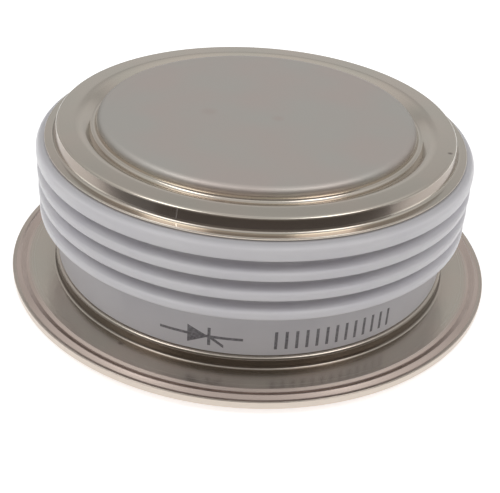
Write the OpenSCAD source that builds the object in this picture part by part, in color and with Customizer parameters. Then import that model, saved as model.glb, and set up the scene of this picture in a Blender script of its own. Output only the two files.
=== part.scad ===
// Disc thyristor in a press-pack housing. A silicon wafer is clamped between two copper poles inside a
// ribbed ceramic ring. Sheet flanges seal the ring to the poles, and the gate comes out through its wall.
// Millimetres. The origin is the centre of the cathode contact face, and +Z points to the anode.

/* [Poles] */
// Diameter of both contact faces
pole_d = 47.5; // [46:0.5:50]
// Rounding of the edge of both contact faces
pole_edge = 1; // [0.3:0.1:1]
// Height of the cathode pole
cathode_pole_h = 10; // [9:0.1:11.5]
// Height of the anode pole
anode_pole_h = 11; // [9:0.1:13]
// Width of the shoulder that carries the brazed sheet
shoulder_w = 0.8; // [0.5:0.05:0.9]
// Height of that shoulder
shoulder_h = 1.5; // [1:0.1:2.5]
// How much thinner the inner end of a pole is than its face, on the radius
pole_waist = 1.25; // [0.8:0.05:1.6]

/* [Silicon stack] */
// Diameter of the silicon wafer
wafer_d = 45.2; // [43:0.2:46]
// Thickness of the silicon wafer
wafer_t = 0.7; // [0.4:0.05:1]
// Width of the bevel ground on the wafer's edge
bevel_w = 0.8; // [0.4:0.1:1.2]
// Height of that bevel
bevel_h = 0.4; // [0.2:0.05:0.4]
// Thickness of the molybdenum disc that carries the wafer
anode_moly_t = 2.3; // [1.8:0.1:3]
// Thickness of the loose molybdenum disc on the cathode side
cathode_moly_t = 2; // [1.5:0.1:3]
// How far the loose disc stays inside the wafer's edge
cathode_moly_inset = 2.1; // [1.8:0.1:3]
// Hole in the loose disc for the gate pin
cathode_moly_hole = 5; // [4:0.1:6]
// Width of the rubber outside the wafer's edge
seal_w = 0.4; // [0.3:0.05:0.8]
// Depth of the rubber below the wafer
seal_drop = 0.5; // [0.3:0.05:0.8]
// How far the rubber laps onto the wafer's face
seal_lap = 0.3; // [0.1:0.05:0.5]

/* [Locating ring] */
// Width of the step on the cathode pole that the ring sits on
ring_step_w = 1.5; // [1:0.1:1.8]
// Depth of that step
ring_step_h = 0.8; // [0.5:0.1:1]
// Height of the locating ring
locating_h = 5.2; // [4.5:0.1:6]
// Play of the ring round the pole and the wafer's carrier
locating_play = 0.15; // [0.05:0.05:0.3]
// Gap between the ring and the ceramic bore
locating_gap = 0.3; // [0.1:0.05:0.6]
// Least wall of the ring round the wafer's carrier
locating_wall = 2; // [1.5:0.1:3]

/* [Ceramic ring] */
// Gap between a pole's shoulder and the ceramic bore
bore_gap = 2.45; // [2:0.05:3]
// Wall of the ceramic at the plain band
band_wall = 3.3; // [3:0.1:4]
// Wall of the ceramic at the bottom of a groove
groove_wall = 3.5; // [3:0.1:4]
// How far a rib stands out from the bottom of its groove
rib_depth = 2.2; // [1.6:0.1:2.6]
// Number of ribs
rib_count = 4; // [2:1:4]
// Distance from one rib to the next
rib_pitch = 3; // [2.6:0.05:3.2]
// Height of the top rib
top_rib_h = 2.25; // [2:0.05:3]
// Width of a groove at its mouth
groove_w = 1.75; // [1.5:0.05:2]
// Width of a groove at its bottom
groove_floor_w = 1.35; // [1.2:0.05:1.4]
// Rounding at the bottom of a groove
groove_round = 0.55; // [0.2:0.05:0.58]
// Rounding of the edges of the ribs
rib_edge = 0.4; // [0.1:0.05:0.5]
// Rounding of the shoulder over the top rib
shoulder_round = 1.3; // [0.6:0.1:1.5]
// Rounding of the other edges of the ceramic
ceramic_edge = 0.25; // [0.1:0.05:0.4]

/* [Anode flange] */
// Thickness of the anode flange
anode_sheet_t = 0.45; // [0.3:0.05:0.5]
// How far the anode face stands above the flange
anode_proud = 0.8; // [0.6:0.05:1.2]
// Depth of the groove round the anode pole, below the flange
anode_groove_h = 1; // [0.8:0.05:1.1]
// Width of the flat ring
ring_w = 3.25; // [3:0.05:3.6]
// Height of the flat ring above the lip
lid_rise = 1.85; // [1.4:0.05:2.2]
// How much wider the wall under the ring is at its foot, on the radius
wall_draft = 0.6; // [0.2:0.05:0.8]
// Width of the lip that is brazed to the ceramic
lip_w = 1.25; // [1:0.05:1.4]
// Bend of the flat ring's outer edge
ring_bend = 0.4; // [0.3:0.05:0.6]
// Bend at the root of the lip
lip_bend = 0.35; // [0.2:0.05:0.4]

/* [Groove round each pole] */
// Width of the groove's floor
floor_w = 0.9; // [0.9:0.05:1.2]
// Width of the slope from the floor up to the flat ring
slope_w = 1.65; // [1.6:0.05:2]
// Bend at the foot of the slope
floor_bend = 0.5; // [0.2:0.05:0.5]
// Bend at the head of the slope
slope_bend = 2.5; // [1.5:0.1:3]
// Rounding of the braze between the floor and the pole
braze_round = 0.6; // [0.3:0.05:0.6]
// Width of the braze's edge on the pole
braze_edge = 0.1; // [0.05:0.01:0.15]
// Rounding of the cut edges of the sheets
sheet_edge = 0.15; // [0.05:0.01:0.2]

/* [Weld flange and cathode flange] */
// Diameter over the welded rim
flange_d = 75; // [74:0.5:80]
// Thickness of the weld flange
weld_sheet_t = 0.65; // [0.5:0.05:0.8]
// Thickness of the cathode flange
cathode_sheet_t = 0.65; // [0.5:0.05:0.7]
// How far the cathode face stands below the flange
cathode_proud = 0.95; // [0.7:0.05:1.3]
// Depth of the groove round the cathode pole, above the flange
cathode_groove_h = 0.85; // [0.75:0.05:1.1]
// Height of the ceramic's foot above the weld
neck_h = 2.4; // [2.2:0.1:3]
// How far the neck stands out from the plain band
neck_step = 0.5; // [0.4:0.05:0.6]
// Width of the seat under the ceramic
seat_w = 2.3; // [1.8:0.1:2.6]
// Bend at the top of the neck
neck_bend = 0.5; // [0.3:0.05:0.6]
// Bend at the foot of the neck
foot_bend = 0.4; // [0.2:0.05:0.5]

/* [Cold-welded rim] */
// Distance of the inner die groove from the rim
inner_groove_in = 2.1; // [2:0.05:2.4]
// Distance of the crest between the grooves from the rim
crest_in = 1.3; // [1.15:0.05:1.4]
// Distance of the outer die groove from the rim
outer_groove_in = 0.6; // [0.5:0.05:0.7]
// Width of the inner groove's shoulder
groove_shoulder = 0.5; // [0.35:0.05:0.6]
// Depth of the die grooves
die_groove_h = 0.22; // [0.1:0.02:0.3]
// Height of the crest over the flange
crest_h = 0.12; // [0.05:0.01:0.2]
// Rounding of the grooves and the crest
die_round = 0.2; // [0.1:0.02:0.25]

/* [Gate contact] */
// Depth of the gate lead below the inner face of the cathode pole
gate_drop = 2; // [1.9:0.1:2.4]
// Diameter of the gate bore in the cathode pole
gate_bore_d = 7; // [6.6:0.1:8]
// Depth of the gate bore below the gate lead
gate_bore_drop = 3.8; // [3.2:0.1:4.4]
// Play of the insulating cup in its bore, all round
cup_play = 0.05; // [0.02:0.01:0.15]
// Wall of the insulating cup
cup_wall = 0.75; // [0.5:0.05:0.9]
// Floor of the insulating cup
cup_floor = 0.8; // [0.5:0.1:1.2]
// How far the cup ends below the pole's inner face
cup_drop = 0.4; // [0.2:0.1:0.8]
// Play of the gate pin's head in the cup, all round
head_play = 0.2; // [0.1:0.05:0.3]
// Height of the gate pin's head
head_h = 1.2; // [1:0.1:1.6]
// Diameter of the tip that touches the silicon
tip_d = 2.2; // [1.6:0.1:3]
// Diameter of the stem inside the spring
stem_d = 2.6; // [2:0.1:2.8]
// Length of that stem
stem_h = 1.4; // [0.8:0.1:1.6]
// Wire of the gate spring
spring_wire = 0.5; // [0.4:0.05:0.6]
// Mean diameter of the gate spring
spring_d = 4; // [3.7:0.05:4.3]
// Turns of the gate spring
spring_turns = 3; // [2:0.5:3]

/* [Gate lead and tube] */
// Diameter of the gate lead
lead_d = 0.8; // [0.6:0.05:1]
// Depth of the lead in the gate pin's head
lead_grip = 1.4; // [1:0.1:1.8]
// Outside diameter of the lead's sleeve
lead_sleeve_d = 1.8; // [1.4:0.1:2.2]
// Play of the lead in its sleeve and in the tube, all round
lead_play = 0.05; // [0.02:0.01:0.2]
// Play of the sleeve in the pole's slot, all round
slot_play = 0.4; // [0.2:0.05:0.6]
// Gap at both ends of the lead's sleeve
sleeve_gap = 0.3; // [0.1:0.05:0.5]
// Diameter of the gate tube
tube_d = 2.4; // [2:0.1:3]
// How far the gate tube stands out of the ceramic
tube_reach = 6.9; // [6:0.1:9]
// Length of the closed end of the gate tube
tube_cap = 1.2; // [0.8:0.1:2]
// Diameter of the eyelet round the gate tube
eyelet_d = 5; // [4.4:0.1:5.6]
// Thickness of the eyelet's flange
eyelet_t = 0.7; // [0.5:0.05:1]
// Wall of the eyelet's neck
eyelet_wall = 0.4; // [0.3:0.05:0.6]
// Length of the eyelet's neck
eyelet_neck = 0.9; // [0.6:0.1:1.4]
// Depth of the flat spot in the ceramic under the eyelet
spot_h = 0.3; // [0.2:0.05:0.5]
// Play of the eyelet in its flat spot, all round
spot_play = 0.15; // [0.05:0.05:0.3]

/* [Terminals] */
// Thickness of the terminal blades
blade_t = 0.8; // [0.5:0.1:1]
// Width of the gate blade
gate_blade_w = 2.8; // [2.4:0.1:3.4]
// Length of the gate blade
gate_blade_l = 8; // [6:0.5:10]
// Length of the barrel on the gate tube
barrel_l = 4; // [3:0.1:4.5]
// Wall of that barrel
barrel_wall = 0.6; // [0.5:0.1:1]
// Width of the cathode blade
cathode_blade_w = 4.8; // [4:0.1:6.3]
// How far the cathode blade stands out from the rim
cathode_blade_l = 8.5; // [6:0.5:10]
// Angle from the gate tube to the cathode blade
cathode_blade_angle = 24; // [18:1:60]
// Length of the cathode blade's foot, welded to the flange
foot_l = 2.7; // [2:0.1:2.8]
// Height of the step that lifts the blade over the welded rim
step_h = 0.4; // [0.3:0.05:0.6]
// Bend of that step
step_bend = 0.3; // [0.1:0.05:0.3]
// Slant of the corners at the tip of a blade
blade_chamfer = 0.7; // [0.3:0.1:1]
// Hole in a blade
blade_hole = 1.4; // [1:0.1:1.6]
// Distance of that hole from the tip
blade_hole_in = 2.6; // [2:0.1:3]

/* [Hidden] */
$fn = 96;
// Largest angle that one straight piece of a rounded corner spans
arc_step = 12;

// Heights, from the cathode face up
cathode_moly_z = cathode_pole_h;
wafer_z = cathode_moly_z + cathode_moly_t;
anode_moly_z = wafer_z + wafer_t;
anode_pole_z = anode_moly_z + anode_moly_t;
height = anode_pole_z + anode_pole_h;
weld_z = cathode_proud + cathode_sheet_t;
flange_top = weld_z + weld_sheet_t;
foot_z = weld_z + neck_h;
ring_z = height - anode_proud;
lip_z = ring_z - lid_rise;
ceramic_top = lip_z - anode_sheet_t;

// Radii, from the axis out
pole_r = pole_d / 2;
waist_r = pole_r - pole_waist;
shoulder_r = pole_r + shoulder_w;
floor_r = pole_r + floor_w;
slope_r = floor_r + slope_w;
wall_r = slope_r + ring_w;
wall_foot_r = wall_r + wall_draft;
lip_r = wall_foot_r + lip_w;
wafer_r = wafer_d / 2;
anode_moly_r = wafer_r + seal_w;
guide_r = anode_moly_r + locating_play;
bore_r = max(shoulder_r + bore_gap, guide_r + locating_wall + locating_gap);
band_r = bore_r + band_wall;
groove_r = bore_r + groove_wall;
rib_r = groove_r + rib_depth;
neck_r = band_r + neck_step;
flange_r = flange_d / 2;
contact_r = waist_r - ring_step_w;

// The gate's parts, along +Y from the axis
gate_z = cathode_pole_h - gate_drop;
cup_z = gate_z - gate_bore_drop;
cup_r = gate_bore_d / 2 - cup_play;
cup_bore_r = cup_r - cup_wall;
head_r = cup_bore_r - head_play;
spring_z = cup_z + cup_floor;
spring_top = gate_z - head_h / 2;
slot_d = lead_sleeve_d + 2 * slot_play;
tube_r = tube_d / 2;
lead_bore_r = lead_d / 2 + lead_play;
tube_end = band_r + tube_reach;
lead_end = tube_end - tube_cap;
spot_y = band_r - spot_h;
blade_tip = flange_r + cathode_blade_l;

nickel = [0.66, 0.62, 0.59];
copper_nickel = [0.62, 0.56, 0.52];
alumina = [0.80, 0.79, 0.82];
moly = [0.55, 0.56, 0.58];
silicon = [0.30, 0.32, 0.38];
rubber = [0.85, 0.84, 0.80];
ptfe = [0.93, 0.93, 0.91];
silver = [0.78, 0.78, 0.76];

// Outlines with rounded corners

function unit(v) = v / norm(v);
function flat(c) = [c[0], c[1]];

// The arc that rounds corner q = [x, y, rounding] between its neighbours p and n
function corner(p, q, n) =
    let (a = unit(flat(p) - flat(q)), b = unit(flat(n) - flat(q)), half = acos(a * b) / 2)
    q[2] == 0 || half > 89 ? [flat(q)] :
    let (centre = flat(q) + unit(a + b) * q[2] / sin(half),
         start = flat(q) + a * q[2] / tan(half) - centre,
         turn = (a[0] * b[1] - a[1] * b[0] > 0 ? -1 : 1) * (180 - 2 * half),
         steps = max(2, ceil(abs(turn) / arc_step)))
    [for (i = [0:steps])
        let (t = turn * i / steps)
        centre + [start[0] * cos(t) - start[1] * sin(t), start[0] * sin(t) + start[1] * cos(t)]];

// A closed outline through corners [x, y, rounding]
function rounded(c) =
    [for (i = [0:len(c) - 1]) each corner(c[(i + len(c) - 1) % len(c)], c[i], c[(i + 1) % len(c)])];

function reversed(c) = [for (i = [len(c) - 1:-1:0]) c[i]];
function to_right(d) = [d[1], -d[0]];

// The other face of a sheet of thickness t, which lies to the right of the path (to the left if t < 0)
function far_face(path, t) =
    [for (i = [0:len(path) - 1])
        let (here = flat(path[i]),
             d_in = unit(i > 0 ? here - flat(path[i - 1]) : flat(path[1]) - here),
             d_out = unit(i < len(path) - 1 ? flat(path[i + 1]) - here : here - flat(path[i - 1])),
             bend = d_in[0] * d_out[1] - d_in[1] * d_out[0],
             at_end = i == 0 || i == len(path) - 1,
             at = here + (to_right(d_in) + to_right(d_out)) * t / (1 + d_in * d_out))
        [at[0], at[1], at_end ? path[i][2] : max(0, path[i][2] + sign(bend) * t)]];

// A bent sheet: both faces of the path as one closed outline
function sheet(path, t) = concat(path, reversed(far_face(path, t)));

module turned(corners) { rotate_extrude() polygon(rounded(corners)); }

// Turns its child so that its axis runs along the gate lead, outward
module on_gate() { translate([0, 0, gate_z]) rotate([-90, 0, 0]) children(); }

// Copper poles

// A pole with its contact face at 0: the sheet's seat, the shoulder behind it and the thinner inner end
module pole(h, seat) {
    turned([
        [0, 0, 0],
        [pole_r, 0, pole_edge],
        [pole_r, seat, 0],
        [shoulder_r, seat, 0],
        [shoulder_r, seat + shoulder_h, sheet_edge],
        [waist_r, seat + shoulder_h, sheet_edge],
        [waist_r, h, 0],
        [0, h, 0]
    ]);
}

module cathode_pole() {
    color(nickel) difference() {
        pole(cathode_pole_h, weld_z + cathode_groove_h);
        // Step for the locating ring
        translate([0, 0, cathode_pole_h - ring_step_h]) difference() {
            cylinder(r = pole_r, h = 2 * ring_step_h);
            cylinder(r = contact_r, h = 2 * ring_step_h);
        }
        // Gate bore, and the slot that lets the lead out to the side
        translate([0, 0, cup_z]) cylinder(d = gate_bore_d, h = cathode_pole_h);
        on_gate() cylinder(d = slot_d, h = bore_r);
        translate([-slot_d / 2, 0, gate_z]) cube([slot_d, bore_r, cathode_pole_h]);
    }
}

module anode_pole() {
    color(nickel) translate([0, 0, height]) mirror([0, 0, 1])
        pole(anode_pole_h, anode_proud + anode_groove_h + anode_sheet_t);
}

// Sheet flanges

// The braze in the corner between a pole and the floor of its groove, which is h deep
function braze(floor_z, h, side) =
    let (reach = floor_w - braze_edge - floor_bend * tan(atan(h / slope_w) / 2),
         r = min(braze_round, reach),
         edge_z = floor_z + side * (r + braze_edge))
    [[pole_r, edge_z, 0], [pole_r + braze_edge, edge_z, 0], [pole_r + braze_edge, floor_z, r]];

// The outer face of the welded rim: two die grooves and the crest that is squeezed up between them
function welded_rim(face_z, side) = [
    [flange_r - inner_groove_in - groove_shoulder, face_z, die_round],
    [flange_r - inner_groove_in, face_z - side * die_groove_h, die_round],
    [flange_r - crest_in, face_z + side * crest_h, die_round],
    [flange_r - outer_groove_in, face_z - side * die_groove_h, die_round],
    [flange_r, face_z, sheet_edge]
];

module cathode_flange() {
    floor_z = cathode_proud + cathode_groove_h;
    path = [
        [pole_r, floor_z, 0],
        [floor_r, floor_z, floor_bend],
        [slope_r, cathode_proud, slope_bend],
        [flange_r, cathode_proud, 0]
    ];
    outer = concat(braze(floor_z, cathode_groove_h, -1), [path[1], path[2]], welded_rim(cathode_proud, -1));
    color(copper_nickel) turned(concat(outer, reversed(far_face(path, -cathode_sheet_t))));
}

module weld_flange() {
    path = [
        [band_r - seat_w, foot_z, sheet_edge],
        [neck_r, foot_z, neck_bend],
        [neck_r, flange_top, foot_bend],
        [flange_r, flange_top, 0]
    ];
    outer = concat([for (i = [0:2]) path[i]], welded_rim(flange_top, 1));
    color(copper_nickel) turned(concat(outer, reversed(far_face(path, weld_sheet_t))));
}

module anode_flange() {
    floor_z = ring_z - anode_groove_h;
    path = [
        [pole_r, floor_z, 0],
        [floor_r, floor_z, floor_bend],
        [slope_r, ring_z, slope_bend],
        [wall_r, ring_z, ring_bend],
        [wall_foot_r, lip_z, lip_bend],
        [lip_r, lip_z, sheet_edge]
    ];
    outer = concat(braze(floor_z, anode_groove_h, 1), [for (i = [1:len(path) - 1]) path[i]]);
    color(nickel) turned(concat(outer, reversed(far_face(path, anode_sheet_t))));
}

// Silicon stack

module cathode_moly_disc() {
    color(moly) translate([0, 0, cathode_moly_z]) difference() {
        cylinder(r = wafer_r - cathode_moly_inset, h = cathode_moly_t);
        translate([0, 0, -1]) cylinder(d = cathode_moly_hole, h = cathode_moly_t + 2);
    }
}

module silicon_wafer() {
    color(silicon) turned([
        [0, wafer_z, 0],
        [wafer_r - bevel_w, wafer_z, 0],
        [wafer_r, wafer_z + bevel_h, 0],
        [wafer_r, anode_moly_z, 0],
        [0, anode_moly_z, 0]
    ]);
}

// Rubber cast over the bevel, level with the edge of the carrier disc
module edge_seal() {
    inner_r = wafer_r - bevel_w - seal_lap;
    color(rubber) turned([
        [inner_r, wafer_z, 0],
        [wafer_r - bevel_w, wafer_z, 0],
        [wafer_r, wafer_z + bevel_h, 0],
        [wafer_r, anode_moly_z, 0],
        [anode_moly_r, anode_moly_z, 0],
        [anode_moly_r, wafer_z - seal_drop, seal_w / 2],
        [inner_r, wafer_z - seal_drop, seal_w / 2]
    ]);
}

module anode_moly_disc() {
    color(moly) translate([0, 0, anode_moly_z]) cylinder(r = anode_moly_r, h = anode_moly_t);
}

// Ring with an inner lip: it sits on the cathode pole's step and centres the wafer's carrier disc
module locating_ring() {
    step_z = cathode_pole_h - ring_step_h;
    outer_r = bore_r - locating_gap;
    color(ptfe) turned([
        [contact_r + locating_play, step_z, 0],
        [outer_r, step_z, ceramic_edge],
        [outer_r, step_z + locating_h, ceramic_edge],
        [guide_r, step_z + locating_h, ceramic_edge],
        [guide_r, cathode_pole_h, 0],
        [contact_r + locating_play, cathode_pole_h, 0]
    ]);
}

// Ceramic ring

// Underside of rib i, counted from the top
function rib_z(i) = ceramic_top - top_rib_h - i * rib_pitch;

module ceramic_ring() {
    draft = (groove_w - groove_floor_w) / 2;
    grooves = [for (i = [0:rib_count - 2]) each [
        [rib_r, rib_z(i), rib_edge],
        [groove_r, rib_z(i) - draft, groove_round],
        [groove_r, rib_z(i) - groove_w + draft, groove_round],
        [rib_r, rib_z(i) - groove_w, rib_edge]
    ]];
    last_z = rib_z(rib_count - 1);
    color(alumina) difference() {
        turned(concat(
            [[bore_r, ceramic_top, ceramic_edge], [rib_r, ceramic_top, shoulder_round]],
            grooves,
            [[rib_r, last_z, rib_edge], [band_r, last_z - draft, groove_round],
             [band_r, foot_z, ceramic_edge], [bore_r, foot_z, ceramic_edge]]
        ));
        // Bore for the gate tube, and the flat spot for its eyelet
        on_gate() cylinder(d = tube_d, h = rib_r);
        on_gate() translate([0, 0, spot_y]) cylinder(r = eyelet_d / 2 + spot_play, h = rib_r);
    }
}

// Gate

// Insulating cup, notched for the lead
module gate_sleeve() {
    top = cathode_pole_h - cup_drop;
    notch_w = 2 * (lead_d / 2 + head_play);
    color(ptfe) difference() {
        turned([
            [0, cup_z, 0],
            [cup_r, cup_z, sheet_edge],
            [cup_r, top, sheet_edge],
            [cup_bore_r, top, sheet_edge],
            [cup_bore_r, spring_z, 0],
            [0, spring_z, 0]
        ]);
        on_gate() cylinder(d = notch_w, h = gate_bore_d);
        translate([-notch_w / 2, 0, gate_z]) cube([notch_w, gate_bore_d, cathode_pole_h]);
    }
}

module gate_spring() {
    sides = 8;
    steps = 20 * spring_turns;
    low = spring_z + spring_wire / 2;
    rise = spring_top - spring_z - spring_wire;
    points = [for (i = [0:steps], k = [0:sides - 1])
        let (turn = 360 * spring_turns * i / steps,
             around = 360 * k / sides,
             r = (spring_d + spring_wire * cos(around)) / 2)
        [r * cos(turn), r * sin(turn), low + rise * i / steps + spring_wire / 2 * sin(around)]];
    skin = [for (i = [0:steps - 1], k = [0:sides - 1])
        let (a = i * sides, b = (k + 1) % sides)
        [a + k, a + sides + k, a + sides + b, a + b]];
    first_end = [for (k = [0:sides - 1]) k];
    last_end = [for (k = [sides - 1:-1:0]) steps * sides + k];
    color(silver) polyhedron(points, concat(skin, [first_end, last_end]));
}

module gate_pin() {
    color(silver) difference() {
        turned([
            [0, spring_top - stem_h, 0],
            [stem_d / 2, spring_top - stem_h, sheet_edge],
            [stem_d / 2, spring_top, 0],
            [head_r, spring_top, sheet_edge],
            [head_r, spring_top + head_h, sheet_edge],
            [tip_d / 2, spring_top + head_h, 0],
            [tip_d / 2, wafer_z, sheet_edge],
            [0, wafer_z, 0]
        ]);
        on_gate() translate([0, 0, head_r - lead_grip]) cylinder(d = lead_d, h = gate_bore_d);
    }
}

module gate_lead() {
    color(silver) on_gate() translate([0, 0, head_r - lead_grip])
        cylinder(d = lead_d, h = lead_end - head_r + lead_grip);
}

module lead_sleeve() {
    start = gate_bore_d / 2 + sleeve_gap;
    color(ptfe) on_gate() turned([
        [lead_bore_r, start, 0],
        [lead_sleeve_d / 2, start, 0],
        [lead_sleeve_d / 2, bore_r - sleeve_gap, 0],
        [lead_bore_r, bore_r - sleeve_gap, 0]
    ]);
}

// Tube brazed into the ceramic, and closed at its end over the lead
module gate_tube() {
    color(nickel) on_gate() turned([
        [lead_bore_r, bore_r, 0],
        [tube_r, bore_r, 0],
        [tube_r, tube_end, sheet_edge],
        [0, tube_end, 0],
        [0, lead_end, 0],
        [lead_bore_r, lead_end, 0]
    ]);
}

module gate_eyelet() {
    neck = tube_r + eyelet_wall;
    color(nickel) on_gate() turned([
        [tube_r, spot_y, 0],
        [eyelet_d / 2, spot_y, sheet_edge],
        [eyelet_d / 2, spot_y + eyelet_t, sheet_edge],
        [neck, spot_y + eyelet_t, sheet_edge],
        [neck, spot_y + eyelet_t + eyelet_neck, sheet_edge],
        [tube_r, spot_y + eyelet_t + eyelet_neck, 0]
    ]);
}

// Terminals

// Outline of a blade from y = start to y = tip, with slanted corners and its hole
module blade_outline(w, start, tip) {
    difference() {
        polygon([
            [-w / 2, start], [w / 2, start], [w / 2, tip - blade_chamfer], [w / 2 - blade_chamfer, tip],
            [blade_chamfer - w / 2, tip], [-w / 2, tip - blade_chamfer]
        ]);
        translate([0, tip - blade_hole_in]) circle(d = blade_hole);
    }
}

// Barrel closed on the end of the gate tube, drawn out into a flat blade
module gate_terminal() {
    barrel_r = tube_r + barrel_wall;
    cap_y = tube_end + barrel_wall;
    color(nickel) {
        on_gate() turned([
            [tube_r, cap_y - barrel_l, 0],
            [barrel_r, cap_y - barrel_l, sheet_edge],
            [barrel_r, cap_y, sheet_edge],
            [0, cap_y, 0],
            [0, tube_end, 0],
            [tube_r, tube_end, 0]
        ]);
        translate([0, 0, gate_z - blade_t / 2]) linear_extrude(blade_t)
            blade_outline(gate_blade_w, tube_end + barrel_wall / 2, cap_y + gate_blade_l);
    }
}

// Strip welded to the weld flange and stepped up over its rim
module cathode_terminal() {
    start = neck_r + foot_bend + step_h;
    path = [
        [start, flange_top, 0],
        [start + foot_l, flange_top, step_bend],
        [start + foot_l + step_h, flange_top + step_h, step_bend],
        [blade_tip, flange_top + step_h, 0]
    ];
    color(nickel) rotate([0, 0, -cathode_blade_angle]) intersection() {
        rotate([90, 0, 90]) linear_extrude(cathode_blade_w, center = true) polygon(rounded(sheet(path, -blade_t)));
        linear_extrude(height) blade_outline(cathode_blade_w, start, blade_tip);
    }
}

cathode_pole();
cathode_flange();
gate_sleeve();
gate_spring();
gate_pin();
gate_lead();
lead_sleeve();
locating_ring();
cathode_moly_disc();
silicon_wafer();
edge_seal();
anode_moly_disc();
ceramic_ring();
weld_flange();
gate_tube();
gate_eyelet();
anode_pole();
anode_flange();
gate_terminal();
cathode_terminal();
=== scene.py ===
import math

import bmesh
import bpy
from mathutils import Matrix, Vector


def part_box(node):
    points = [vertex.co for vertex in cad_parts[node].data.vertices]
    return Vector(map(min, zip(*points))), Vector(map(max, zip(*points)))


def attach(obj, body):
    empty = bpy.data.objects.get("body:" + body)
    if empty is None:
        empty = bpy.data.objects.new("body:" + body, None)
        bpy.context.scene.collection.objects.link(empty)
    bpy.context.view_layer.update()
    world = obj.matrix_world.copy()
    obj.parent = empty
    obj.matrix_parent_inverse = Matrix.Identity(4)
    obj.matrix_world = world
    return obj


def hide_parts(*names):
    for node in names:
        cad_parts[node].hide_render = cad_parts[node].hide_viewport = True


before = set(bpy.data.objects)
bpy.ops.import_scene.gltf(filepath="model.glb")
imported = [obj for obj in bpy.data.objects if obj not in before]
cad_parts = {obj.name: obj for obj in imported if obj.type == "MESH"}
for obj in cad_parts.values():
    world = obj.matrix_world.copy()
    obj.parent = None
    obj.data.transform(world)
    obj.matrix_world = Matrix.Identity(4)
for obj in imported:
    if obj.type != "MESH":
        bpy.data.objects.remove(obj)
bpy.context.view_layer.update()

MM = 0.001


# Camera. It stands in front of the part and a little above it, close enough that the near side of the
# brim looks larger than the far side. The part is turned a few degrees clockwise in the picture.
IMAGE_W = 500
FOCAL_PX = 926.8
CAMERA_REACH = 151.46 * MM
CAMERA_RISE = math.radians(32.55)
CAMERA_ROLL = math.radians(3.69)
CAMERA_SHIFT_PX = (1.08, 3.04)
SENSOR_W = 36

brim_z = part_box("weld_flange")[0].z
bpy.ops.object.select_all(action="DESELECT")
bpy.ops.object.camera_add()
camera = bpy.context.object
camera.name = "camera"
camera.data.sensor_width = SENSOR_W
camera.data.lens = FOCAL_PX * SENSOR_W / IMAGE_W
camera.data.shift_x = CAMERA_SHIFT_PX[0] / IMAGE_W
camera.data.shift_y = CAMERA_SHIFT_PX[1] / IMAGE_W
camera.data.clip_start = 10 * MM
camera.matrix_world = (
    Matrix.Translation((0, 0, brim_z))
    @ Matrix.Rotation(math.pi / 2 - CAMERA_RISE, 4, "X")
    @ Matrix.Rotation(CAMERA_ROLL, 4, "Z")
    @ Matrix.Translation((0, 0, CAMERA_REACH))
)
bpy.context.scene.camera = camera


# Cathode pole. A copper disc turned on a lathe and nickel plated: the contact face below, a shoulder
# that carries the brazed sheet, and a thinner inner end with the bore and the slot of the gate contact.
POLE_R = 23.75 * MM
POLE_EDGE = 1.0 * MM
POLE_WAIST_R = 22.5 * MM
SHOULDER_H = 1.5 * MM
CUT_EDGE = 0.15 * MM
CATHODE_SEAT_Z = 2.45 * MM
LOCATING_STEP_R = 21.0 * MM
LOCATING_STEP_H = 0.8 * MM
GATE_BORE_R = 3.5 * MM
SLOT_R = 1.3 * MM
SMUDGES = [(-7.2, -0.9, 1.6), (3.1, -1.8, 1.2)]
SMUDGE_TINT = (0.57, 0.51, 0.47)
SPIN_STEPS = 288
ARC_STEP = math.radians(9)


def edit(piece):
    bpy.ops.object.select_all(action="DESELECT")
    piece.select_set(True)
    bpy.context.view_layer.objects.active = piece
    bpy.ops.object.mode_set(mode="EDIT")


def select_near(piece, point):
    """Selects the one vertex of a piece in edit mode that lies nearest to a point."""
    bpy.ops.mesh.select_all(action="DESELECT")
    mesh = bmesh.from_edit_mesh(piece.data)
    nearest = min(mesh.verts, key=lambda v: (v.co - point).length)
    nearest.select_set(True)
    bmesh.update_edit_mesh(piece.data)


def turned(name, corners, closed=True):
    """Spins an outline round Z. Its corners are (radius, height, rounding), and an open one ends on the axis."""
    points = [Vector((r, 0, z)) for r, z, _ in corners]
    bpy.ops.object.select_all(action="DESELECT")
    bpy.ops.mesh.primitive_plane_add(size=MM)
    piece = bpy.context.object
    piece.name = name
    edit(piece)
    bpy.ops.mesh.select_all(action="SELECT")
    bpy.ops.mesh.merge(type="CENTER")
    bpy.ops.transform.translate(value=points[0])
    for here, there in zip(points, points[1:]):
        bpy.ops.mesh.extrude_vertices_move(TRANSFORM_OT_translate={"value": there - here})
    if closed:
        mesh = bmesh.from_edit_mesh(piece.data)
        mesh.verts.ensure_lookup_table()
        mesh.verts[0].select_set(True)
        bmesh.update_edit_mesh(piece.data)
        bpy.ops.mesh.edge_face_add()
    for i, (point, corner) in enumerate(zip(points, corners)):
        rounding = corner[2]
        if rounding == 0:
            continue
        before = (points[i - 1] - point).normalized()
        after = (points[(i + 1) % len(points)] - point).normalized()
        turn = math.pi - before.angle(after)
        select_near(piece, point)
        bpy.ops.mesh.bevel(
            affect="VERTICES",
            offset=rounding * math.tan(turn / 2),
            segments=max(3, math.ceil(turn / ARC_STEP)),
            profile=0.5,
        )
    bpy.ops.mesh.select_all(action="SELECT")
    bpy.ops.mesh.spin(steps=SPIN_STEPS, angle=2 * math.pi, center=(0, 0, 0), axis=(0, 0, 1))
    bpy.ops.mesh.select_all(action="SELECT")
    bpy.ops.mesh.remove_doubles(threshold=0.001 * MM)
    bpy.ops.mesh.normals_make_consistent(inside=False)
    bpy.ops.object.mode_set(mode="OBJECT")
    return piece


def apply_modifier(piece, kind, **settings):
    bpy.ops.object.select_all(action="DESELECT")
    piece.select_set(True)
    bpy.context.view_layer.objects.active = piece
    bpy.ops.object.modifier_add(type=kind)
    modifier = piece.modifiers[-1]
    for setting, value in settings.items():
        setattr(modifier, setting, value)
    bpy.ops.object.modifier_apply(modifier=modifier.name)


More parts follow.
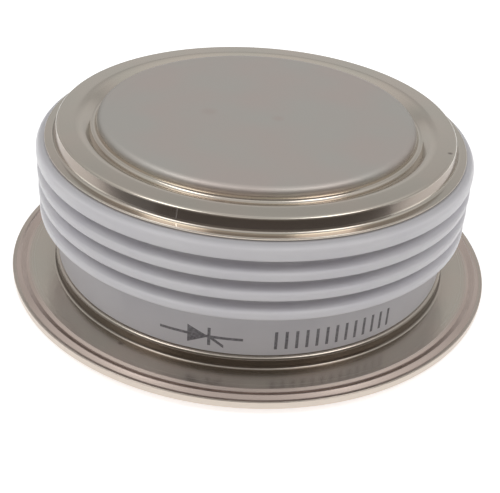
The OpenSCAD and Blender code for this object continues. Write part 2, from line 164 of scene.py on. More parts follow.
def cut(piece, cutter):
    """Takes the cutter's shape out of a piece, and removes the cutter."""
    apply_modifier(piece, "BOOLEAN", operation="DIFFERENCE", solver="EXACT", object=cutter)
    bpy.data.objects.remove(cutter)


def drill(piece, radius, start, end):
    """A round hole through a piece, between two points of its axis."""
    along = end - start
    bpy.ops.object.select_all(action="DESELECT")
    bpy.ops.mesh.primitive_cylinder_add(vertices=64, radius=radius, depth=along.length, end_fill_type="NGON")
    cutter = bpy.context.object
    cutter.data.transform(along.to_track_quat("Z", "Y").to_matrix().to_4x4())
    cutter.data.transform(Matrix.Translation((start + end) / 2))
    cut(piece, cutter)


def smooth(piece):
    """Smooth shading in which the wide faces keep their own direction, so that flats stay flat beside bends."""
    bpy.ops.object.select_all(action="DESELECT")
    piece.select_set(True)
    bpy.context.view_layer.objects.active = piece
    bpy.ops.object.shade_smooth_by_angle(angle=math.radians(40))
    apply_modifier(piece, "WEIGHTED_NORMAL", mode="FACE_AREA", weight=100, keep_sharp=True)


def pole_outline(face_z, inner_z, seat_z, side):
    """Outline of a pole from the centre of its contact face to the centre of its inner face."""
    shoulder_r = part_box("anode_pole")[1].x
    behind_z = seat_z + side * SHOULDER_H
    return [
        (0, face_z, 0),
        (POLE_R, face_z, POLE_EDGE),
        (POLE_R, seat_z, 0),
        (shoulder_r, seat_z, 0),
        (shoulder_r, behind_z, CUT_EDGE),
        (POLE_WAIST_R, behind_z, CUT_EDGE),
        (POLE_WAIST_R, inner_z, 0),
        (0, inner_z, 0),
    ]


def new_material(name, metallic, roughness):
    """A material with its shader, whose colour, roughness and normal are then linked to its own nodes."""
    material = bpy.data.materials.new(name)
    material.use_nodes = True
    shader = material.node_tree.nodes["Principled BSDF"]
    shader.inputs["Metallic"].default_value = metallic
    shader.inputs["Roughness"].default_value = roughness
    return material, shader


def add_node(material, kind, inputs=(), **settings):
    """Adds a node. Inputs pair a socket with a value or with the output socket that feeds it."""
    node = material.node_tree.nodes.new(kind)
    for setting, value in settings.items():
        setattr(node, setting, value)
    for socket, value in inputs:
        if isinstance(value, bpy.types.NodeSocket):
            material.node_tree.links.new(value, node.inputs[socket])
        else:
            node.inputs[socket].default_value = value
    return node


def link(material, output, socket):
    material.node_tree.links.new(output, socket)


def noise(material, vector, scale, detail=2.0):
    """Noise with a number of features per millimetre."""
    return add_node(
        material, "ShaderNodeTexNoise", [("Vector", vector), ("Scale", scale / MM), ("Detail", detail)]
    ).outputs["Fac"]


def ramp(material, fac, low, high, low_at=0.35, high_at=0.65):
    """Two colours between two levels of a pattern."""
    node = add_node(material, "ShaderNodeValToRGB", [("Fac", fac)])
    node.color_ramp.elements[0].position = low_at
    node.color_ramp.elements[1].position = high_at
    node.color_ramp.elements[0].color = (*low, 1)
    node.color_ramp.elements[1].color = (*high, 1)
    return node.outputs["Color"]


def level(material, fac, low, high, low_at=0.3, high_at=0.7):
    """A number between two levels of a pattern."""
    return add_node(
        material,
        "ShaderNodeMapRange",
        [("Value", fac), ("From Min", low_at), ("From Max", high_at), ("To Min", low), ("To Max", high)],
    ).outputs["Result"]


def bump(material, shader, height, depth):
    """Relief of a real depth."""
    node = add_node(material, "ShaderNodeBump", [("Height", height), ("Distance", depth), ("Strength", 1.0)])
    link(material, node.outputs["Normal"], shader.inputs["Normal"])


def object_coordinates(material):
    return add_node(material, "ShaderNodeTexCoord").outputs["Object"]


def marked(material, place, colour, where, reach, tint):
    """Adds a small mark to a colour: the tint at a point, fading out at its reach."""
    away = add_node(
        material, "ShaderNodeVectorMath", [(0, place), (1, where)], operation="DISTANCE"
    ).outputs["Value"]
    amount = level(material, away, 1.0, 0.0, 0.3 * reach, reach)
    mix = add_node(
        material, "ShaderNodeMix", [("Factor", amount), (6, colour), (7, (*tint, 1))], data_type="RGBA"
    )
    return mix.outputs[2]


def lapped_nickel():
    """Matte plating on a lapped copper face, with a fine grain, faint clouds and two faint smudges."""
    material, shader = new_material("lapped_nickel", metallic=1.0, roughness=0.42)
    place = object_coordinates(material)
    clouds = noise(material, place, 0.09, 1.0)
    colour = ramp(material, clouds, (0.60, 0.535, 0.495), (0.575, 0.55, 0.51))
    for x, y, reach in SMUDGES:
        colour = marked(material, place, colour, Vector((x, y, 26)) * MM, reach * MM, SMUDGE_TINT)
    link(material, colour, shader.inputs["Base Color"])
    grain = noise(material, place, 9.0, 3.0)
    height = add_node(material, "ShaderNodeSeparateXYZ", [("Vector", place)]).outputs["Z"]
    above = add_node(material, "ShaderNodeMath", [(0, height), (1, 13 * MM)], operation="SUBTRACT").outputs[0]
    outward = add_node(material, "ShaderNodeMath", [(0, above)], operation="ABSOLUTE").outputs[0]
    link(material, level(material, outward, 0.52, 0.43, 12.7 * MM, 12.99 * MM), shader.inputs["Roughness"])
    bump(material, shader, grain, 0.003 * MM)
    return material


def dress(piece, material, slot, *nodes):
    """Finishes a new piece: its material, the body and the nodes that it stands for; its finish, the slot, is not used.
    """
    piece.data.materials.clear()
    piece.data.materials.append(material)
    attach(piece, "root")
    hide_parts(*nodes)


pole_nickel = lapped_nickel()
cathode_low, cathode_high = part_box("cathode_pole")
gate_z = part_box("gate_lead")[0].z / 2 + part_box("gate_lead")[1].z / 2
cup_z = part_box("gate_sleeve")[0].z
outline = pole_outline(cathode_low.z, cathode_high.z, CATHODE_SEAT_Z, 1)
outline[-2:] = [
    (POLE_WAIST_R, cathode_high.z - LOCATING_STEP_H, 0),
    (LOCATING_STEP_R, cathode_high.z - LOCATING_STEP_H, 0),
    (LOCATING_STEP_R, cathode_high.z, 0),
    (0, cathode_high.z, 0),
]
cathode_pole = turned("cathode_contact", outline, closed=False)
drill(cathode_pole, GATE_BORE_R, Vector((0, 0, cup_z)), Vector((0, 0, 2 * cathode_high.z)))
drill(cathode_pole, SLOT_R, Vector((0, 0, gate_z)), Vector((0, 2 * POLE_R, gate_z)))
bpy.ops.object.select_all(action="DESELECT")
bpy.ops.mesh.primitive_cube_add(size=1)
slot_cutter = bpy.context.object
slot_cutter.data.transform(Matrix.Diagonal((2 * SLOT_R, 2 * POLE_R, cathode_high.z, 1)))
slot_cutter.data.transform(Matrix.Translation((0, POLE_R, gate_z + cathode_high.z / 2)))
cut(cathode_pole, slot_cutter)
smooth(cathode_pole)
dress(cathode_pole, pole_nickel, "nickel_plated_copper", "cathode_pole")


# Cathode flange. A pressed sheet ring, nickel plated: its inner edge is brazed behind the pole's shoulder,
# a groove lets it flex, and its rim is cold-welded to the upper sheet between two dies.
SHEET_T = 0.65 * MM
FLOOR_W = 0.9 * MM
SLOPE_W = 1.65 * MM
FLOOR_BEND = 0.5 * MM
SLOPE_BEND = 2.5 * MM
BRAZE_ROUND = 0.6 * MM
BRAZE_EDGE = 0.1 * MM
CATHODE_FACE_Z = 0.95 * MM
CATHODE_GROOVE_H = 0.85 * MM
DIE_GROOVE_H = 0.22 * MM
DIE_CREST_H = 0.12 * MM
DIE_ROUND = 0.2 * MM
RIM_INNER_IN = 2.6 * MM
RIM_GROOVE_IN = 2.1 * MM
RIM_CREST_IN = 1.3 * MM
RIM_OUTER_IN = 0.6 * MM
SPECK_R = 0.45 * MM
# The next colour is painted shade on the lid's wall, for the dark reflection it shows.
WALL_PAINTED_SHADE = (0.37, 0.32, 0.28)
SCRATCH_AT = math.radians(-18.1)
SCRATCH_HALF = math.radians(0.16)
SCRATCH_TINT = (0.80, 0.75, 0.71)
SPECK_TINT = (0.27, 0.225, 0.20)


def braze(floor_z, side):
    """Braze in the corner between a pole and the floor of the groove round it."""
    edge_z = floor_z + side * (BRAZE_ROUND + BRAZE_EDGE)
    return [
        (POLE_R, edge_z, 0),
        (POLE_R + BRAZE_EDGE, edge_z, 0),
        (POLE_R + BRAZE_EDGE, floor_z, BRAZE_ROUND),
    ]


def welded_rim(flange_r, face_z, side):
    """Outer face of the welded rim: two die grooves and the crest squeezed up between them."""
    return [
        (flange_r - RIM_INNER_IN, face_z, DIE_ROUND),
        (flange_r - RIM_GROOVE_IN, face_z - side * DIE_GROOVE_H, DIE_ROUND),
        (flange_r - RIM_CREST_IN, face_z + side * DIE_CREST_H, DIE_ROUND),
        (flange_r - RIM_OUTER_IN, face_z - side * DIE_GROOVE_H, DIE_ROUND),
        (flange_r, face_z, CUT_EDGE),
    ]


def other_face(path, thickness):
    """The other face of a bent sheet, from its last corner back: to the right of the path, or the left if negative."""
    corners = []
    for i, (r, z, bend) in enumerate(path):
        here = Vector((r, z))
        ahead = Vector(path[i + 1][:2]) - here if i < len(path) - 1 else here - Vector(path[i - 1][:2])
        behind = here - Vector(path[i - 1][:2]) if i > 0 else ahead
        ahead.normalize()
        behind = behind.normalized()
        to_right = Vector((behind.y + ahead.y, -behind.x - ahead.x))
        there = here + to_right * thickness / (1 + behind.dot(ahead))
        turn = behind.x * ahead.y - behind.y * ahead.x
        at_end = i in (0, len(path) - 1)
        inner = bend if at_end else max(0, bend + math.copysign(thickness, turn * thickness))
        corners.append((there.x, there.y, inner))
    return corners[::-1]


def satin_nickel(name, speck, gloss, rim_r=None, wall_z=None):
    """Satin plating with a grain along the turn and a dark speck. A rim squeezed by the dies shows a little copper."""
    material, shader = new_material(name, metallic=1.0, roughness=0.27)
    place = object_coordinates(material)
    clouds = noise(material, place, 0.12, 1.0)
    colour = ramp(material, clouds, (0.635, 0.565, 0.492), (0.605, 0.56, 0.488))
    parts = add_node(material, "ShaderNodeSeparateXYZ", [("Vector", place)])
    plan = add_node(
        material, "ShaderNodeCombineXYZ", [("X", parts.outputs["X"]), ("Y", parts.outputs["Y"]), ("Z", 0.0)]
    )
    radius = add_node(
        material, "ShaderNodeVectorMath", [(0, plan.outputs["Vector"])], operation="LENGTH"
    ).outputs["Value"]
    # Painted shade: the lid's wall is darkened in colour, standing in for the dark reflection that it shows.
    if wall_z:
        under = level(material, parts.outputs["Z"], 1.0, 0.0, wall_z[1] - 0.06 * MM, wall_z[1])
        over = level(material, parts.outputs["Z"], 0.0, 1.0, wall_z[0], wall_z[0] + 0.06 * MM)
        outside = level(material, radius, 0.0, 1.0, 28.9 * MM, 29.1 * MM)
        on_wall = add_node(material, "ShaderNodeMath", [(0, under), (1, over)], operation="MULTIPLY").outputs[0]
        on_wall = add_node(material, "ShaderNodeMath", [(0, on_wall), (1, outside)], operation="MULTIPLY").outputs[0]
        mix = add_node(
            material, "ShaderNodeMix", [("Factor", on_wall), (6, colour), (7, (*WALL_PAINTED_SHADE, 1))], data_type="RGBA"
        )
        toward = add_node(material, "ShaderNodeMath", [(0, parts.outputs["Y"]), (1, -1.0)], operation="MULTIPLY").outputs[0]
        round_axis = add_node(material, "ShaderNodeMath", [(0, parts.outputs["X"]), (1, toward)], operation="ARCTAN2").outputs[0]
        line = add_node(
            material, "ShaderNodeMath", [(0, round_axis), (1, SCRATCH_AT), (2, SCRATCH_HALF)], operation="COMPARE"
        ).outputs[0]
        scratch = add_node(material, "ShaderNodeMath", [(0, line), (1, on_wall)], operation="MULTIPLY").outputs[0]
        mix = add_node(
            material, "ShaderNodeMix", [("Factor", scratch), (6, mix.outputs[2]), (7, (*SCRATCH_TINT, 1))], data_type="RGBA"
        )
        colour = mix.outputs[2]
    if rim_r:
        at_rim = level(material, radius, 0.0, 1.0, rim_r - 0.4 * MM, rim_r + 0.3 * MM)
        mix = add_node(
            material, "ShaderNodeMix", [("Factor", at_rim), (6, colour), (7, (0.64, 0.53, 0.47, 1))], data_type="RGBA"
        )
        colour = mix.outputs[2]
        # Painted shade: the brim darkens a little towards the foot of its neck.
        shade_near_neck = level(material, radius, 0.12, 0.0, 31.2 * MM, 33.5 * MM)
        mix = add_node(
            material, "ShaderNodeMix", [("Factor", shade_near_neck), (6, colour), (7, (0.36, 0.30, 0.25, 1))], data_type="RGBA"
        )
        colour = mix.outputs[2]
        # Painted shade: the neck of the brim is darkened almost to brown-black, for the dark reflection it shows.
        beyond = level(material, radius, 0.0, 1.0, 30.6 * MM, 30.75 * MM)
        before = level(material, radius, 0.9, 0.0, 30.88 * MM, 31.05 * MM)
        neck_painted_shade = add_node(material, "ShaderNodeMath", [(0, beyond), (1, before)], operation="MULTIPLY").outputs[0]
        mix = add_node(
            material, "ShaderNodeMix", [("Factor", neck_painted_shade), (6, colour), (7, (0.15, 0.122, 0.10, 1))], data_type="RGBA"
        )
        # Painted shade: the outer edge of the rim is a little darker.
        shaded_edge = level(material, radius, 0.0, 1.0, flange_r - 0.65 * MM, flange_r - 0.4 * MM)
        mix = add_node(
            material, "ShaderNodeMix", [("Factor", shaded_edge), (6, mix.outputs[2]), (7, (0.60, 0.53, 0.465, 1))], data_type="RGBA"
        )
        colour = mix.outputs[2]
    colour = marked(material, place, colour, Vector(speck) * MM, SPECK_R, SPECK_TINT)
    link(material, colour, shader.inputs["Base Color"])
    section = add_node(material, "ShaderNodeCombineXYZ", [("X", radius), ("Y", parts.outputs["Z"]), ("Z", 0.0)])
    lines = noise(material, section.outputs["Vector"], 7.0, 2.0)
    link(material, level(material, lines, *gloss), shader.inputs["Roughness"])
    bump(material, shader, lines, 0.0002 * MM)
    return material


flange_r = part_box("weld_flange")[1].x
brim_nickel = satin_nickel("brim_nickel", (-16.9, -27.2, 2.25), (0.22, 0.28), rim_r=flange_r - RIM_INNER_IN)
floor_z = CATHODE_FACE_Z + CATHODE_GROOVE_H
path = [
    (POLE_R, floor_z, 0),
    (POLE_R + FLOOR_W, floor_z, FLOOR_BEND),
    (POLE_R + FLOOR_W + SLOPE_W, CATHODE_FACE_Z, SLOPE_BEND),
    (flange_r, CATHODE_FACE_Z, 0),
]
rim = welded_rim(flange_r, CATHODE_FACE_Z, -1)
outline = braze(floor_z, -1) + path[1:3] + rim + other_face(path, -SHEET_T)
cathode_flange = turned("cathode_sheet", outline)
smooth(cathode_flange)
dress(cathode_flange, brim_nickel, "nickel_plated_sheet", "cathode_flange")


# Gate contact. A spring in an insulating cup presses a silver-plated pin on the middle of the silicon,
# and a wire in an insulating tube leads from the pin out through the slot.
def plain(name, metallic, low, high, roughness, per_mm):
    """A plain finish: two close colours in faint clouds, and a fine grain in its gloss and relief."""
    material, shader = new_material(name, metallic, roughness[0])
    place = object_coordinates(material)
    clouds = noise(material, place, 0.3, 2.0)
    link(material, ramp(material, clouds, low, high), shader.inputs["Base Color"])
    grain = noise(material, place, per_mm, 3.0)
    link(material, level(material, grain, *roughness), shader.inputs["Roughness"])
    bump(material, shader, grain, 0.002 * MM)
    return material


def finish(material, *nodes):
    """Gives a finish to pieces that are shown as they come from the CAD."""
    for node in nodes:
        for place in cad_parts[node].material_slots:
            place.material = material


waxy_white = plain("waxy_white", 0.0, (0.80, 0.80, 0.77), (0.84, 0.84, 0.81), (0.42, 0.52), 3.0)
silver_plate = plain("silver_plate", 1.0, (0.74, 0.72, 0.67), (0.80, 0.78, 0.74), (0.20, 0.30), 6.0)
finish(waxy_white, "gate_sleeve", "lead_sleeve")
finish(silver_plate, "gate_spring", "gate_pin", "gate_lead")


# Stack. The silicon disc with rubber cast round its bevelled edge lies between two ground molybdenum
# discs, and a ring keeps it on the middle of the cathode pole.
ground_molybdenum = plain("ground_molybdenum", 1.0, (0.48, 0.49, 0.51), (0.54, 0.55, 0.57), (0.33, 0.42), 8.0)
polished_silicon = plain("polished_silicon", 1.0, (0.27, 0.29, 0.34), (0.31, 0.33, 0.38), (0.08, 0.13), 1.0)
cast_rubber = plain("cast_rubber", 0.0, (0.76, 0.75, 0.70), (0.80, 0.79, 0.75), (0.55, 0.68), 2.0)
finish(waxy_white, "locating_ring")
finish(ground_molybdenum, "cathode_moly_disc", "anode_moly_disc")
finish(polished_silicon, "silicon_wafer")
finish(cast_rubber, "edge_seal")


# Ceramic ring. Alumina, pressed, fired and glazed outside: four ribs lengthen the way along the surface,
# and a plain band below them takes the gate tube through its wall.
BORE_R = 27.0 * MM
BAND_R = 30.3 * MM
GROOVE_R = 30.5 * MM
RIB_COUNT = 4
RIB_PITCH = 3.0 * MM
TOP_RIB_H = 2.25 * MM
GROOVE_W = 1.75 * MM
GROOVE_DRAFT = 0.2 * MM
GROOVE_ROUND = 0.55 * MM
RIB_EDGE = 0.4 * MM
TOP_ROUND = 1.3 * MM
CERAMIC_EDGE = 0.25 * MM
SPOT_R = 2.65 * MM
PRINT_Z = 6.6 * MM
PRINT_H = 2.9 * MM
PRINT_LINE = 0.42 * MM
SYMBOL_TIP = -4.6 * MM
SYMBOL_W = 3.0 * MM
LEADS_MIDDLE = -5.8 * MM
LEADS_W = 11.6 * MM
GATE_LEG_W = 2.0 * MM
TICKS_FROM = 4.2 * MM
TICKS_W = 18.7 * MM
TICK_PITCH = 1.44 * MM
INK = (0.085, 0.08, 0.095)
# Painted shade at the top of the ceramic beside the lid's lip: its grey and how strong it is.
LIP_PAINTED_SHADE = (0.42, 0.41, 0.43)
LIP_SHADE_AMOUNT = 0.7


def ink_mask(material, place):
    """Where the band carries ink: a thyristor symbol with its leads, and a row of plain ticks beside it."""
    def calc(operation, *values):
        return add_node(material, "ShaderNodeMath", list(enumerate(values)), operation=operation).outputs[0]

    parts = add_node(material, "ShaderNodeSeparateXYZ", [("Vector", place)])
    toward = calc("MULTIPLY", parts.outputs["Y"], -1.0)
    along = calc("MULTIPLY", calc("ARCTAN2", parts.outputs["X"], toward), BAND_R)
    above = calc("SUBTRACT", parts.outputs["Z"], PRINT_Z)
    off_axis = calc("ABSOLUTE", above)
    in_row = calc("LESS_THAN", off_axis, PRINT_H / 2)
    to_tip = calc("SUBTRACT", SYMBOL_TIP, along)
    narrowed = calc("MULTIPLY", to_tip, PRINT_H / 2 / SYMBOL_W)
    triangle = calc("MULTIPLY", calc("LESS_THAN", off_axis, narrowed), calc("LESS_THAN", to_tip, SYMBOL_W))
    bar = calc("MULTIPLY", calc("COMPARE", along, SYMBOL_TIP, PRINT_LINE / 2), in_row)
    leads = calc("MULTIPLY", calc("COMPARE", along, LEADS_MIDDLE, LEADS_W / 2), calc("LESS_THAN", off_axis, PRINT_LINE / 2))
    leg_line = calc("LESS_THAN", calc("ABSOLUTE", calc("SUBTRACT", above, calc("MULTIPLY", to_tip, 0.7))), PRINT_LINE * 0.6)
    leg = calc("MULTIPLY", leg_line, calc("COMPARE", along, SYMBOL_TIP + GATE_LEG_W / 2, GATE_LEG_W / 2))
    from_first = calc("SUBTRACT", along, TICKS_FROM)
    tick = calc("LESS_THAN", calc("MODULO", from_first, TICK_PITCH), PRINT_LINE)
    in_ticks = calc("COMPARE", from_first, TICKS_W / 2, TICKS_W / 2)
    ticks = calc("MULTIPLY", calc("MULTIPLY", tick, in_ticks), in_row)
    ink = calc("MAXIMUM", calc("MAXIMUM", triangle, bar), calc("MAXIMUM", calc("MAXIMUM", leads, leg), ticks))
    plan = add_node(material, "ShaderNodeCombineXYZ", [("X", parts.outputs["X"]), ("Y", parts.outputs["Y"]), ("Z", 0.0)])
    radius = add_node(material, "ShaderNodeVectorMath", [(0, plan.outputs["Vector"])], operation="LENGTH").outputs["Value"]
    return calc("MULTIPLY", ink, calc("COMPARE", radius, BAND_R, 0.1 * MM))


def glazed_alumina():
    """Off-white fired ceramic with a smooth skin, faint clouds, a very fine relief and printed ink."""
    material, shader = new_material("glazed_alumina", metallic=0.0, roughness=0.34)
    place = object_coordinates(material)
    clouds = noise(material, place, 0.15, 2.0)
    rib_white = ramp(material, clouds, (0.835, 0.825, 0.86), (0.865, 0.855, 0.88))
    recess_painted_shade = ramp(material, clouds, (0.67, 0.66, 0.69), (0.705, 0.695, 0.72))
    parts = add_node(material, "ShaderNodeSeparateXYZ", [("Vector", place)])
    plan = add_node(
        material, "ShaderNodeCombineXYZ", [("X", parts.outputs["X"]), ("Y", parts.outputs["Y"]), ("Z", 0.0)]
    )
    radius = add_node(
        material, "ShaderNodeVectorMath", [(0, plan.outputs["Vector"])], operation="LENGTH"
    ).outputs["Value"]
    # Painted shade: the grooves and the band below the ribs are a darker grey than the ribs.
    on_rib = level(material, radius, 0.0, 1.0, GROOVE_R, rib_r - 0.3 * MM)
    colour = add_node(
        material, "ShaderNodeMix", [("Factor", on_rib), (6, recess_painted_shade), (7, rib_white)], data_type="RGBA"
    ).outputs[2]
    # Painted shade: the top of the ceramic beside the lid's lip is darkened grey.
    under_lip_shade = level(material, parts.outputs["Z"], 0.0, LIP_SHADE_AMOUNT, ceramic_high.z - 0.5 * MM, ceramic_high.z - 0.1 * MM)
    colour = add_node(
        material, "ShaderNodeMix", [("Factor", under_lip_shade), (6, colour), (7, (*LIP_PAINTED_SHADE, 1))], data_type="RGBA"
    ).outputs[2]
    worn = level(material, noise(material, place, 3.0, 3.0), 0.70, 0.95)
    ink = add_node(material, "ShaderNodeMath", [(0, ink_mask(material, place)), (1, worn)], operation="MULTIPLY")
    printed = add_node(
        material, "ShaderNodeMix", [("Factor", ink.outputs[0]), (6, colour), (7, (*INK, 1))], data_type="RGBA"
    )
    link(material, printed.outputs[2], shader.inputs["Base Color"])
    skin = noise(material, place, 2.5, 3.0)
    link(material, level(material, skin, 0.30, 0.38), shader.inputs["Roughness"])
    bump(material, shader, skin, 0.004 * MM)
    return material


ceramic_low, ceramic_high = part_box("ceramic_ring")
rib_r = ceramic_high.x
outline = [(BORE_R, ceramic_high.z, CERAMIC_EDGE), (rib_r, ceramic_high.z, TOP_ROUND)]
for i in range(RIB_COUNT):
    under_z = ceramic_high.z - TOP_RIB_H - i * RIB_PITCH
    outline.append((rib_r, under_z, RIB_EDGE))
    if i < RIB_COUNT - 1:
        outline.append((GROOVE_R, under_z - GROOVE_DRAFT, GROOVE_ROUND))
        outline.append((GROOVE_R, under_z - GROOVE_W + GROOVE_DRAFT, GROOVE_ROUND))
        outline.append((rib_r, under_z - GROOVE_W, RIB_EDGE))
    else:
        outline.append((BAND_R, under_z - GROOVE_DRAFT, GROOVE_ROUND))
outline += [(BAND_R, ceramic_low.z, CERAMIC_EDGE), (BORE_R, ceramic_low.z, CERAMIC_EDGE)]
ceramic = turned("ribbed_ceramic", outline)
tube_low, tube_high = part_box("gate_tube")
eyelet_low, eyelet_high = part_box("gate_eyelet")
drill(ceramic, tube_high.x, Vector((0, 0, gate_z)), Vector((0, 2 * rib_r, gate_z)))
drill(ceramic, SPOT_R, Vector((0, eyelet_low.y, gate_z)), Vector((0, 2 * rib_r, gate_z)))
smooth(ceramic)
dress(ceramic, glazed_alumina(), "alumina", "ceramic_ring")


# Weld flange. The upper sheet of the brim: a seat brazed under the ceramic, a short neck and the wide
# flat ring, cold-welded at its rim to the sheet below.
SEAT_R = 28.0 * MM
NECK_R = 30.8 * MM
NECK_BEND = 0.5 * MM
FOOT_BEND = 0.4 * MM
BRIM_TOP = 2.25 * MM

weld_low, weld_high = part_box("weld_flange")
path = [
    (SEAT_R, weld_high.z, CUT_EDGE),
    (NECK_R, weld_high.z, NECK_BEND),
    (NECK_R, BRIM_TOP, FOOT_BEND),
    (flange_r, BRIM_TOP, 0),
]
rim = welded_rim(flange_r, BRIM_TOP, 1)
weld_flange = turned("brim_sheet", path[:3] + rim + other_face(path, SHEET_T))
smooth(weld_flange)
dress(weld_flange, brim_nickel, "nickel_plated_sheet", "weld_flange")


# Gate tube. A plated tube passes through the ceramic's wall, and a flanged eyelet seals it there.
tin_plate = plain("tin_plate", 1.0, (0.63, 0.60, 0.57), (0.69, 0.66, 0.63), (0.24, 0.34), 5.0)
finish(tin_plate, "gate_tube", "gate_eyelet")


# Anode pole. The same turned and plated copper disc as below, with its contact face up.
ANODE_SEAT_Z = 23.75 * MM

anode_low, anode_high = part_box("anode_pole")
anode_pole = turned(
    "anode_contact", pole_outline(anode_high.z, anode_low.z, ANODE_SEAT_Z, -1), closed=False
)
smooth(anode_pole)
dress(anode_pole, pole_nickel, "nickel_plated_copper", "anode_pole")


# Anode flange. A thin pressed sheet round the anode pole: a groove that flexes, a flat ring, a short wall
# and a lip brazed on top of the ceramic.
LID_T = 0.45 * MM
LID_GROOVE_H = 1.0 * MM
LID_WALL_R = 29.55 * MM
LID_FOOT_R = 30.15 * MM
LID_BEND = 0.4 * MM
LIP_BEND = 0.35 * MM

lid_low, lid_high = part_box("anode_flange")
lip_z = lid_low.z + LID_T
ring_z = ANODE_SEAT_Z + LID_T + LID_GROOVE_H
floor_z = ring_z - LID_GROOVE_H
path = [
    (POLE_R, floor_z, 0),
    (POLE_R + FLOOR_W, floor_z, FLOOR_BEND),
    (POLE_R + FLOOR_W + SLOPE_W, ring_z, SLOPE_BEND),
    (LID_WALL_R, ring_z, LID_BEND),
    (LID_FOOT_R, lip_z, LIP_BEND),
    (lid_high.x, lip_z, CUT_EDGE),
]
anode_flange = turned("lid_sheet", braze(floor_z, 1) + path[1:] + other_face(path, LID_T))
smooth(anode_flange)
dress(anode_flange, satin_nickel("lid_nickel", (27.7, -8.2, 25.2), (0.13, 0.18), wall_z=(23.74 * MM, 24.94 * MM)), "nickel_plated_sheet", "anode_flange")


# Terminals. Two stamped and plated blades: the gate's, crimped on its tube, and the cathode's, on the brim.
finish(tin_plate, "gate_terminal", "cathode_terminal")


# Floor and light. A pale floor, a soft sky and two large soft lamps to the left and right. A dark cloth
# screen stands in front, behind the camera, with low grey cards beside it, so that bright sheet shows dark lines.
FLOOR_R = 3.0
FLOOR_GAP = 0.05 * MM
FLOOR_SEEN_GLOW = 0.60
SKY = [
    (0.0, 0.95),
    (0.04, 0.90),
    (0.09, 0.50),
    (0.30, 0.62),
    (0.41, 0.59),
    (0.49, 0.43),
    (0.54, 0.49),
    (0.65, 0.62),
    (0.82, 0.70),
    (0.93, 0.72),
    (1.0, 0.55),
]
LAMP_REACH = 1.0
LAMP_SIZE = 0.42
LAMP_RISE = math.radians(56)
LAMP_SIDES = (math.radians(-64), math.radians(62))
LAMP_LIGHT = 2.1
SCREEN_R = 0.45
SCREEN_H = 0.40
SCREEN_SIDES = (math.radians(-48), math.radians(74))
SCREEN_SHADES = [(0.0, 0.19), (0.16, 0.21), (0.30, 0.42), (0.66, 0.42), (0.76, 0.14), (1.0, 0.22)]
SCREEN_TINT = (1.0, 0.90, 0.84)
CARD_H = 0.065
CARD_END = math.radians(168)
LEFT_CARD_SHADE = 0.28
RIGHT_CARD_SHADE = 0.75


def matte(name, shade):
    material, shader = new_material(name, metallic=0.0, roughness=0.9)
    shader.inputs["Base Color"].default_value = (shade, shade, shade, 1)
    shader.inputs["Specular IOR Level"].default_value = 0.0
    return material, shader


def stops(node, values, tint=(1, 1, 1)):
    """Sets the places and shades of a colour ramp."""
    while len(node.color_ramp.elements) < len(values):
        node.color_ramp.elements.new(0.5)
    for element, (at, shade) in zip(node.color_ramp.elements, values):
        element.position = at
        element.color = (*[shade * t for t in tint], 1)


def upright(name, start, end, height, material):
    """A curved screen that stands on the floor round the part, between two directions, unseen by the camera."""
    bpy.ops.object.select_all(action="DESELECT")
    bpy.ops.mesh.primitive_plane_add(size=MM)
    screen = bpy.context.object
    screen.name = name
    edit(screen)
    bpy.ops.mesh.select_all(action="SELECT")
    bpy.ops.mesh.merge(type="CENTER")
    bpy.ops.transform.translate(value=(SCREEN_R * math.sin(start), -SCREEN_R * math.cos(start), MM))
    bpy.ops.mesh.extrude_vertices_move(TRANSFORM_OT_translate={"value": (0, 0, height)})
    bpy.ops.mesh.select_all(action="SELECT")
    bpy.ops.mesh.spin(steps=48, angle=start - end, center=(0, 0, 0), axis=(0, 0, 1))
    bpy.ops.object.mode_set(mode="OBJECT")
    screen.data.materials.append(material)
    screen.visible_camera = False


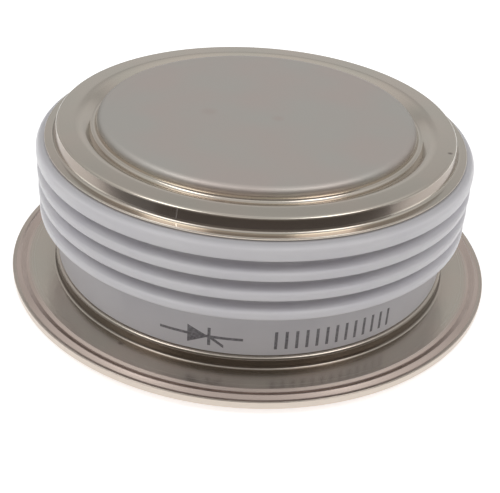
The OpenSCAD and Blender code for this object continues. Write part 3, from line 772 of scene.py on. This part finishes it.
bpy.ops.object.select_all(action="DESELECT")
bpy.ops.mesh.primitive_circle_add(vertices=128, radius=FLOOR_R, fill_type="NGON", location=(0, 0, -FLOOR_GAP))
floor = bpy.context.object
floor.name = "floor"
pale, shader = matte("pale_floor", 0.86)
rays = add_node(pale, "ShaderNodeLightPath").outputs
seen = add_node(
    pale, "ShaderNodeMath", [(0, rays["Is Camera Ray"]), (1, rays["Is Glossy Ray"])], operation="ADD"
).outputs[0]
seen = add_node(pale, "ShaderNodeMath", [(0, seen), (1, rays["Is Transmission Ray"])], operation="ADD").outputs[0]
shader.inputs["Emission Color"].default_value = (1, 1, 1, 1)
link(pale, level(pale, seen, 0.0, FLOOR_SEEN_GLOW, 0.0, 1.0), shader.inputs["Emission Strength"])
floor.data.materials.append(pale)

cloth, shader = matte("screen_cloth", 0.5)
rise = add_node(cloth, "ShaderNodeSeparateXYZ", [("Vector", object_coordinates(cloth))]).outputs["Z"]
shades = add_node(cloth, "ShaderNodeValToRGB", [("Fac", level(cloth, rise, 0.0, 1.0, 0.0, SCREEN_H))])
stops(shades, SCREEN_SHADES, SCREEN_TINT)
link(cloth, shades.outputs["Color"], shader.inputs["Base Color"])
upright("dark_screen", *SCREEN_SIDES, SCREEN_H, cloth)
upright("left_card", -CARD_END, SCREEN_SIDES[0], CARD_H, matte("dark_card", LEFT_CARD_SHADE)[0])
upright("right_card", SCREEN_SIDES[1], CARD_END, CARD_H, matte("pale_card", RIGHT_CARD_SHADE)[0])

for side in LAMP_SIDES:
    bpy.ops.object.select_all(action="DESELECT")
    level_reach = math.cos(LAMP_RISE)
    aim = Vector((math.sin(side) * level_reach, -math.cos(side) * level_reach, math.sin(LAMP_RISE)))
    bpy.ops.object.light_add(type="AREA", location=aim * LAMP_REACH)
    lamp = bpy.context.object
    lamp.rotation_euler = aim.to_track_quat("Z", "Y").to_euler()
    lamp.data.shape = "SQUARE"
    lamp.data.size = LAMP_SIZE
    lamp.data.energy = LAMP_LIGHT * math.pi * LAMP_SIZE ** 2

world = bpy.data.worlds.new("studio")
bpy.context.scene.world = world
world.use_nodes = True
direction = add_node(world, "ShaderNodeTexCoord").outputs["Generated"]
height = add_node(world, "ShaderNodeSeparateXYZ", [("Vector", direction)]).outputs["Z"]
sky = add_node(world, "ShaderNodeValToRGB", [("Fac", height)])
stops(sky, SKY)
link(world, sky.outputs["Color"], world.node_tree.nodes["Background"].inputs["Color"])

bpy.context.scene.view_settings.view_transform = "Standard"
